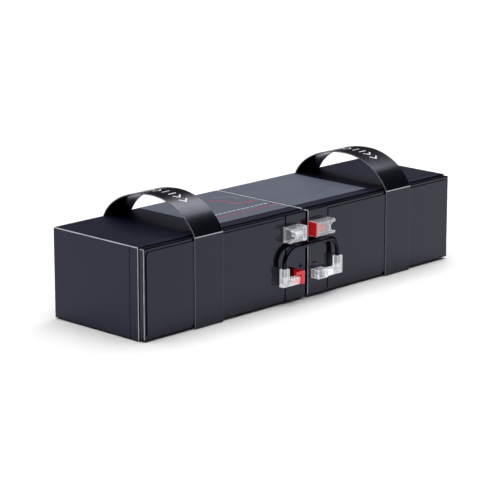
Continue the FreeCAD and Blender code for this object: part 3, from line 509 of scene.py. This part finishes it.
MARK_HEIGHT = 9.0  # across the band
MARK_STROKE = 1.5
MARK_PITCH = 8.0  # from mark to mark along the arch
FIRST_MARK = 2  # pitches from the crown to the rearmost mark
CHEVRON_ARMS, CHEVRON_POINT = 3.0, -1.0  # the ends and the point of a chevron, from its pitch line
mark_ink = ink("white_strap_ink", "#d2d4da", "#eceef2")
for side in SIDES:
    middle_x = sum(corner.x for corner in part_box(f"strap_{side}")) / 2 / MM
    low_x = middle_x - MARK_HEIGHT / 2
    high_x = middle_x + MARK_HEIGHT / 2
    mark_routes = []
    for index in range(6):
        run = (FIRST_MARK - index) * MARK_PITCH
        bar = [(run, low_x), (run, high_x)]
        chevron = [(run + CHEVRON_ARMS, high_x), (run + CHEVRON_POINT, middle_x),
                   (run + CHEVRON_ARMS, low_x)]
        mark_routes.append(fine_route(bar if index in (2, 3) else chevron))
    ribbon_piece(f"strap_marks_{side}", mark_routes, MARK_STROKE, on_arch, mark_ink)

# ---- Upper sockets ----
# Open boxes of clear polycarbonate, moulded in a polished tool and snapped over inserts: a clear
# one on the left, a red one on the right. The thin walls stay clear, while the rims are painted
# white as a highlight and glow faintly with a painted emission, though they are no lamp.

RIM_WIDTH = 0.5
FLOW_WIDTH, FLOW_HEIGHT = 2.5, 0.02  # faint lines of the melt's flow into the tool


def clear_polycarbonate(name, haze_and_glow):
    """Clear moulding: glassy walls with a share of milky haze, and rims painted white as a highlight;
    haze and rims glow with a painted emission.
    """
    material, tree, place = new_material(name)
    drawn_out = add_node(tree, "ShaderNodeVectorMath", {0: place, 1: (0.4, 1, 1)}, operation="MULTIPLY")
    flow = add_node(tree, "ShaderNodeTexNoise", {"Vector": drawn_out.outputs[0],
                                                 "Scale": 1 / (FLOW_WIDTH * MM)})
    bump = add_node(tree, "ShaderNodeBump", {"Height": flow.outputs["Fac"], "Strength": 0.05,
                                             "Distance": FLOW_HEIGHT * MM})
    glassy = add_node(tree, "ShaderNodeBsdfPrincipled",
                      {"Base Color": linear("#fbfcff"), "Roughness": 0.0, "IOR": 1.585,
                       "Transmission Weight": 1.0, "Normal": bump.outputs["Normal"]})
    # A weak emission, painted light: it makes the rims and the haze glow, though the moulding is no lamp.
    glowing_white = add_node(tree, "ShaderNodeBsdfPrincipled",
                       {"Base Color": linear("#ffffff"), "Roughness": 0.2, "IOR": 1.585,
                        "Emission Color": linear("#f6f8ff"), "Emission Strength": 0.7})
    # A rim is where the surface turns within its own width.
    rounded = add_node(tree, "ShaderNodeBevel", {"Radius": RIM_WIDTH * MM}, samples=8)
    surface = add_node(tree, "ShaderNodeNewGeometry")
    turn = add_node(tree, "ShaderNodeVectorMath",
                    {0: rounded.outputs["Normal"], 1: surface.outputs["Normal"]}, operation="DOT_PRODUCT")
    # The rims take the white, glowing shader: a painted highlight.
    rim_highlight = add_node(tree, "ShaderNodeMapRange", {"Value": turn.outputs["Value"], "From Min": 0.97,
                                                "From Max": 0.85, "To Min": haze_and_glow, "To Max": 1.0})
    moulding = add_node(tree, "ShaderNodeMixShader", {0: rim_highlight.outputs["Result"], 1: glassy.outputs[0],
                                                      2: glowing_white.outputs[0]})
    add_node(tree, "ShaderNodeOutputMaterial", {"Surface": moulding.outputs[0]})
    return material


clear_pc = clear_polycarbonate("moulded_clear_polycarbonate", haze_and_glow=0.05)

# Opaque red polycarbonate is strong and even in colour, with a smooth moulded shine.
RED_FLOW_WIDTH = 3.0
red_pc, tree, place = new_material("moulded_red_polycarbonate")
red_flow = add_node(tree, "ShaderNodeTexNoise", {"Vector": place, "Scale": 1 / (RED_FLOW_WIDTH * MM)})
red_shade = add_node(tree, "ShaderNodeMix", {"Factor": red_flow.outputs["Fac"],
                                             6: linear("#ee1622"), 7: linear("#fa2733")},
                     data_type="RGBA")
red_moulding = add_node(tree, "ShaderNodeBsdfPrincipled", {"Base Color": red_shade.outputs[2],
                                                           "Roughness": 0.2, "IOR": 1.585})
add_node(tree, "ShaderNodeOutputMaterial", {"Surface": red_moulding.outputs[0]})
for side in SIDES:
    dress(f"shroud_{side}", clear_pc)
dress("upper_insert_left", clear_pc)
dress("upper_insert_right", red_pc)

# ---- Lower bases ----
# Moulded polycarbonate bases for the two plugs of the jumper, held in the raised pads by their
# tails. The left one is red with a latch arm. The right one is clear, in thicker walls that look
# milkier than the shrouds, with a larger share of the painted white glow.

thick_pc = clear_polycarbonate("thick_clear_polycarbonate", haze_and_glow=0.16)
dress("lower_base_left", red_pc)
dress("lower_base_right", thick_pc)

# ---- Contacts and crimps ----
# Stamped brass, tin plated after forming: contacts pressed into the sockets, and terminals crimped
# on the jumper's core. The tin is bright and silky, with a slight mottle.

tin_plate = metal("tin_plated_brass", dark="#b9bbc0", light="#d5d7da", roughness=0.22, grain_mm=0.8)
for name in nodes:
    if "_contact_" in name or name.startswith("crimp_terminal"):
        dress(name, tin_plate)

# ---- Plugs ----
# Clear polycarbonate elbows on the ends of the jumper, pushed over the contact pins of the lower
# bases. They have the thick, slightly milky walls of the clear base, with its painted glow, and
# the same rims painted white as a highlight.

for side in SIDES:
    dress(f"plug_{side}", thick_pc)

# ---- Jumper ----
# A black PVC jacket extruded over stranded copper, held at both ends by the plugs. The jacket is
# smooth and deep black, with only a faint shine, and the bared ends show their strands.

DRAW_WIDTH = 1.2
jacket_pvc, tree, place = new_material("extruded_black_pvc")
drawn = add_node(tree, "ShaderNodeTexNoise", {"Vector": place, "Scale": 1 / (DRAW_WIDTH * MM)})
jacket_shade = add_node(tree, "ShaderNodeMix", {"Factor": drawn.outputs["Fac"],
                                                6: linear("#020207"), 7: linear("#05050c")},
                        data_type="RGBA")
jacket_shine = add_node(tree, "ShaderNodeMapRange", {"Value": drawn.outputs["Fac"], "To Min": 0.06,
                                                     "To Max": 0.12})
jacket = add_node(tree, "ShaderNodeBsdfPrincipled",
                  {"Base Color": jacket_shade.outputs[2], "Roughness": jacket_shine.outputs["Result"],
                   "IOR": 1.53, "Specular IOR Level": 0.25, "Specular Tint": linear("#c8ccff")})
add_node(tree, "ShaderNodeOutputMaterial", {"Surface": jacket.outputs[0]})
dress("jumper_jacket", jacket_pvc)

BAND_UNIT = 8.0  # diagonal bands then lie 2.9 mm apart, far coarser than the 0.4 mm strands
STRAND_DEPTH = 0.1
stranded_copper, tree, place = new_material("stranded_copper")
strands = add_node(tree, "ShaderNodeTexWave",
                   {"Vector": place, "Scale": 1 / (BAND_UNIT * MM), "Distortion": 0.4},
                   wave_type="BANDS", bands_direction="DIAGONAL")
strand_bump = add_node(tree, "ShaderNodeBump", {"Height": strands.outputs["Fac"], "Strength": 0.7,
                                                "Distance": STRAND_DEPTH * MM})
strand_shade = add_node(tree, "ShaderNodeMix", {"Factor": strands.outputs["Fac"],
                                                6: linear("#8a4526"), 7: linear("#d8926a")},
                        data_type="RGBA")
bare_core = add_node(tree, "ShaderNodeBsdfPrincipled",
                     {"Base Color": strand_shade.outputs[2], "Metallic": 1.0, "Roughness": 0.3,
                      "Normal": strand_bump.outputs["Normal"]})
add_node(tree, "ShaderNodeOutputMaterial", {"Surface": bare_core.outputs[0]})
dress("jumper_core", stranded_copper)

# ---- Polarity marks ----
# Plus and minus signs stand 0.15 mm proud of the raised pads above the lower bases, moulded with
# the panels. They are left matt, so they read as darker strokes on the polished face.

SIGN_HEIGHT = 0.15
SIGN_STROKE = 1.2
SIGN_REACH = 2.8  # half the length of a stroke
SIGN_Z = 31.0
sign_abs = black_abs("matt_black_abs", dark="#05050a", light="#08080e", edge_highlight="#08080e",
                     roughness=0.75, grain_mm=0.5, grain_height_mm=0.01, tint="#d8d8ff")
sign_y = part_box("front_panel_left")[0].y / MM - SIGN_HEIGHT


def on_pad(x, z):
    """The place of a point of a sign on the face of a raised pad."""
    return x, sign_y, z


for side, sign_x in (("left", -8.0), ("right", 9.5)):
    strokes = [[(sign_x - SIGN_REACH, SIGN_Z), (sign_x + SIGN_REACH, SIGN_Z)]]
    if side == "left":
        strokes.append([(sign_x, SIGN_Z - SIGN_REACH), (sign_x, SIGN_Z + SIGN_REACH)])
    ribbon_piece(f"polarity_sign_{side}", strokes, SIGN_STROKE, on_pad, sign_abs)

# ---- Floor, light and camera ----
# A plain matt white floor, and a sky that is dark at the sides and bright overhead, with one
# softbox to the right. The level tops mirror the dark part of the sky and stay dark, and the arches
# of the straps catch the bright part.

FLOOR_HALF = 6.0
floor_corners = [(-FLOOR_HALF, -FLOOR_HALF, 0), (FLOOR_HALF, -FLOOR_HALF, 0),
                 (FLOOR_HALF, FLOOR_HALF, 0), (-FLOOR_HALF, FLOOR_HALF, 0)]
floor_mesh = bpy.data.meshes.new("studio_floor")
floor_mesh.from_pydata(floor_corners, [], [(0, 1, 2, 3)])
floor = bpy.data.objects.new("studio_floor", floor_mesh)
bpy.context.scene.collection.objects.link(floor)
floor_paint, tree, place = new_material("matt_white_floor")
matt_white = add_node(tree, "ShaderNodeBsdfDiffuse", {"Color": linear("#ffffff")})
add_node(tree, "ShaderNodeOutputMaterial", {"Surface": matt_white.outputs[0]})
floor_mesh.materials.append(floor_paint)

HORIZON_LIGHT, OVERHEAD_LIGHT = 0.05, 2.75
DARK_BELOW, BRIGHT_ABOVE = 0.72, 0.88  # heights on a sky of radius 1
world = bpy.data.worlds.new("studio")
bpy.context.scene.world = world
world.use_nodes = True
world.node_tree.nodes.clear()
sky_place = add_node(world.node_tree, "ShaderNodeTexCoord")
sky_axes = add_node(world.node_tree, "ShaderNodeSeparateXYZ", {0: sky_place.outputs["Generated"]})
sky_level = add_node(world.node_tree, "ShaderNodeMapRange",
                     {"Value": sky_axes.outputs["Z"], "From Min": DARK_BELOW, "From Max": BRIGHT_ABOVE,
                      "To Min": HORIZON_LIGHT, "To Max": OVERHEAD_LIGHT},
                     interpolation_type="SMOOTHSTEP")
sky = add_node(world.node_tree, "ShaderNodeBackground", {"Color": linear("#ffffff"),
                                                         "Strength": sky_level.outputs["Result"]})
add_node(world.node_tree, "ShaderNodeOutputWorld", {"Surface": sky.outputs[0]})

SOFTBOX_PLACE = (1.13, 0.38, 1.38)
SOFTBOX_TARGET = (0, 0, 0.08)
softbox_data = bpy.data.lights.new("right_softbox", "AREA")
softbox_data.shape = "RECTANGLE"
softbox_data.size = 1.05
softbox_data.size_y = 0.36
softbox_data.energy = 6.3
softbox = bpy.data.objects.new("right_softbox", softbox_data)
softbox.location = SOFTBOX_PLACE
softbox_aim = Vector(SOFTBOX_TARGET) - Vector(SOFTBOX_PLACE)
softbox.rotation_euler = softbox_aim.to_track_quat("-Z", "Y").to_euler()
bpy.context.scene.collection.objects.link(softbox)

AZIMUTH, PITCH = math.radians(46.027), math.radians(14.198)  # round from the front, and downwards
camera_data = bpy.data.cameras.new("camera")
camera_data.lens = 165.64
camera_data.sensor_width = 36
camera = bpy.data.objects.new("camera", camera_data)
camera.location = (-1.43726, -1.36862, 0.53684)
camera_aim = Vector((math.sin(AZIMUTH) * math.cos(PITCH), math.cos(AZIMUTH) * math.cos(PITCH),
                     -math.sin(PITCH)))
camera.rotation_mode = "QUATERNION"
camera.rotation_quaternion = camera_aim.to_track_quat("-Z", "Y")
bpy.context.scene.collection.objects.link(camera)
bpy.context.scene.camera = camera
bpy.context.scene.view_settings.view_transform = "Standard"
